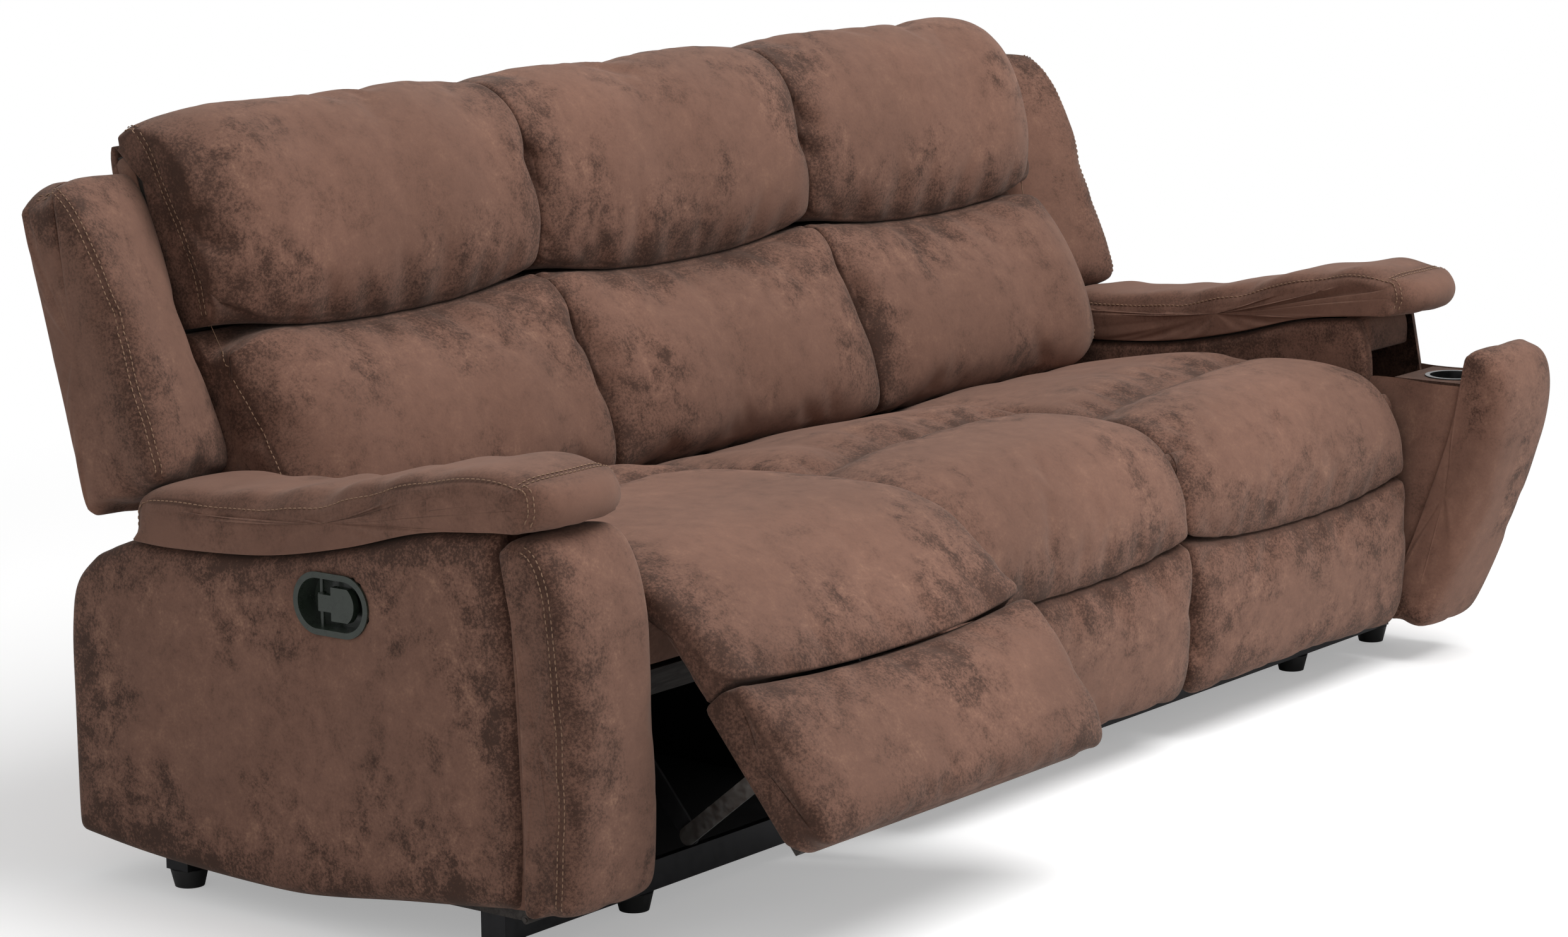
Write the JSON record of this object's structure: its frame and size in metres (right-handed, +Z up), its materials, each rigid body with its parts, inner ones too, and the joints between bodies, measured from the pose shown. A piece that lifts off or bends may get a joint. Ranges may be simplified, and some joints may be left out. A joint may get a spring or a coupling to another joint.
{
  "type": "reclining sofa",
  "caption": "Three-seat sofa whose end seats recline and raise a footrest, with a tilt-out cup-holder console in the front of each padded arm.",
  "frame": {"origin": "on the floor under the middle foot", "axes": "+Z up, +X along the length of the sofa towards the sitter's left-hand arm, -Y towards the front"},
  "size_m": [2.32, 1.2107, 1.0157],
  "materials": {
    "fabric": "brushed brown microfibre, mottled like worn suede",
    "wood": "unfinished hardwood and plywood",
    "steel": "satin black powder coat",
    "zinc": "zinc-plated wire and straps",
    "handle": "dark green-black moulded plastic, semi-gloss",
    "tray": "the same microfibre over board",
    "cup": "black moulded plastic",
    "foot": "black moulded plastic",
    "lining": "black dust cloth"
  },
  "bodies": {
    "root": {"base_rails": "steel", "feet": "foot", "lower_rear_panel": "lining", "middle_seat_frame": "wood", "middle_seat_cushion": "fabric", "middle_back_frame": "wood", "middle_lumbar_cushion": "fabric", "middle_head_cushion": "fabric", "middle_rear_cover": "fabric", "middle_front_panel": "fabric", "left_arm_frame": "wood", "left_arm_inner_panel": "fabric", "left_arm_outer_panel": "fabric", "left_arm_cap": "fabric", "left_arm_shoulder": "fabric", "left_handle_bezel": "handle", "left_release_cable": "zinc", "right_arm_frame": "wood", "right_arm_inner_panel": "fabric", "right_arm_outer_panel": "fabric", "right_arm_cap": "fabric", "right_arm_shoulder": "fabric", "right_handle_bezel": "handle", "right_release_cable": "zinc"},
    "left_seat": {"left_seat_frame": "wood", "left_seat_cushion": "fabric", "left_mechanism_plates": "steel", "left_knee_gusset": "fabric"},
    "left_crank": {"left_drive_crank": "steel"},
    "left_links": {"left_extension_links": "zinc"},
    "left_knee": {"left_knee_pad": "fabric"},
    "left_footrest": {"left_footrest_pad": "fabric", "left_footrest_board": "wood"},
    "left_back": {"left_back_frame": "wood", "left_lumbar_cushion": "fabric", "left_head_cushion": "fabric", "left_rear_cover": "fabric", "left_wing": "fabric"},
    "left_console": {"left_console_post": "fabric", "left_console_tray": "tray", "left_cup_holder": "cup"},
    "left_paddle": {"left_release_paddle": "handle"},
    "right_seat": {"right_seat_frame": "wood", "right_seat_cushion": "fabric", "right_mechanism_plates": "steel"},
    "right_crank": {"right_drive_crank": "steel"},
    "right_links": {"right_extension_links": "zinc"},
    "right_knee": {"right_knee_pad": "fabric"},
    "right_footrest": {"right_footrest_pad": "fabric", "right_footrest_board": "wood"},
    "right_back": {"right_back_frame": "wood", "right_lumbar_cushion": "fabric", "right_head_cushion": "fabric", "right_rear_cover": "fabric", "right_wing": "fabric"},
    "right_console": {"right_console_post": "fabric", "right_console_tray": "tray", "right_cup_holder": "cup"},
    "right_paddle": {"right_release_paddle": "handle"}
  },
  "joints": [
    {"name": "left_recline", "type": "hinge", "parent": "root", "child": "left_back", "pos_m": [-0.648, 0.225, 0.285], "axis": [-1, 0, 0], "range_deg": [0, 25]},
    {"name": "left_seat_slide", "type": "slide", "parent": "root", "child": "left_seat", "axis": [0, -1, 0], "range_m": [0, 0.062]},
    {"name": "left_footrest_unfold", "type": "hinge", "parent": "left_seat", "child": "left_knee", "pos_m": [-0.648, -0.471, 0.489], "axis": [-1, 0, 0], "range_deg": [-52, 40], "deforming": ["left_knee_gusset"]},
    {"name": "left_footrest_tilt", "type": "hinge", "parent": "left_knee", "child": "left_footrest", "pos_m": [-0.648, -0.60388, 0.36996], "axis": [-1, 0, 0], "range_deg": [-10.5, 13.5]},
    {"name": "left_crank_turn", "type": "hinge", "parent": "left_seat", "child": "left_crank", "pos_m": [-0.648, -0.3313, 0.299], "axis": [-1, 0, 0], "range_deg": [-58.74, 45.3]},
    {"name": "left_link_turn", "type": "hinge", "parent": "left_crank", "child": "left_links", "pos_m": [-0.648, -0.4691, 0.13501], "axis": [-1, 0, 0], "range_deg": [-54.86, 71.17]},
    {"name": "left_console_tilt", "type": "hinge", "parent": "root", "child": "left_console", "pos_m": [-1.065, -0.408, 0.073], "axis": [1, 0, 0], "range_deg": [0, 22]},
    {"name": "left_handle_pull", "type": "hinge", "parent": "root", "child": "left_paddle", "pos_m": [-1.144, -0.076, 0.437], "axis": [0, 0, -1], "range_deg": [0, 25], "stiffness_Nm_per_rad": 1, "springref_deg": -5.73},
    {"name": "right_recline", "type": "hinge", "parent": "root", "child": "right_back", "pos_m": [0.648, 0.225, 0.285], "axis": [-1, 0, 0], "range_deg": [0, 25]},
    {"name": "right_seat_slide", "type": "slide", "parent": "root", "child": "right_seat", "axis": [0, -1, 0], "range_m": [0, 0.062]},
    {"name": "right_footrest_unfold", "type": "hinge", "parent": "right_seat", "child": "right_knee", "pos_m": [0.648, -0.471, 0.489], "axis": [-1, 0, 0], "range_deg": [0, 92]},
    {"name": "right_footrest_tilt", "type": "hinge", "parent": "right_knee", "child": "right_footrest", "pos_m": [0.648, -0.459, 0.311], "axis": [-1, 0, 0], "range_deg": [-23.5, 0.5]},
    {"name": "right_crank_turn", "type": "hinge", "parent": "right_seat", "child": "right_crank", "pos_m": [0.648, -0.3313, 0.299], "axis": [-1, 0, 0], "range_deg": [-0.5, 103.54]},
    {"name": "right_link_turn", "type": "hinge", "parent": "right_crank", "child": "right_links", "pos_m": [0.648, -0.2644, 0.09552], "axis": [-1, 0, 0], "range_deg": [-125.53, 0.5]},
    {"name": "right_console_tilt", "type": "hinge", "parent": "root", "child": "right_console", "pos_m": [1.065, -0.408, 0.073], "axis": [1, 0, 0], "range_deg": [-22, 0]},
    {"name": "right_handle_pull", "type": "hinge", "parent": "root", "child": "right_paddle", "pos_m": [1.144, -0.076, 0.437], "axis": [0, 0, 1], "range_deg": [0, 25], "stiffness_Nm_per_rad": 1, "springref_deg": -5.73}
  ],
  "couplings": [
    {"joint": "left_seat_slide", "follows": "left_recline", "m_per_rad": 0.1375},
    {"joint": "left_footrest_tilt", "follows": "left_footrest_unfold", "ratio": -0.25},
    {"joint": "left_crank_turn", "follows": "left_footrest_unfold", "ratio": 1.12},
    {"joint": "left_link_turn", "follows": "left_footrest_unfold", "ratio": -1.359},
    {"joint": "right_seat_slide", "follows": "right_recline", "m_per_rad": 0.1375},
    {"joint": "right_footrest_tilt", "follows": "right_footrest_unfold", "ratio": -0.25},
    {"joint": "right_crank_turn", "follows": "right_footrest_unfold", "ratio": 1.12},
    {"joint": "right_link_turn", "follows": "right_footrest_unfold", "ratio": -1.359}
  ]
}
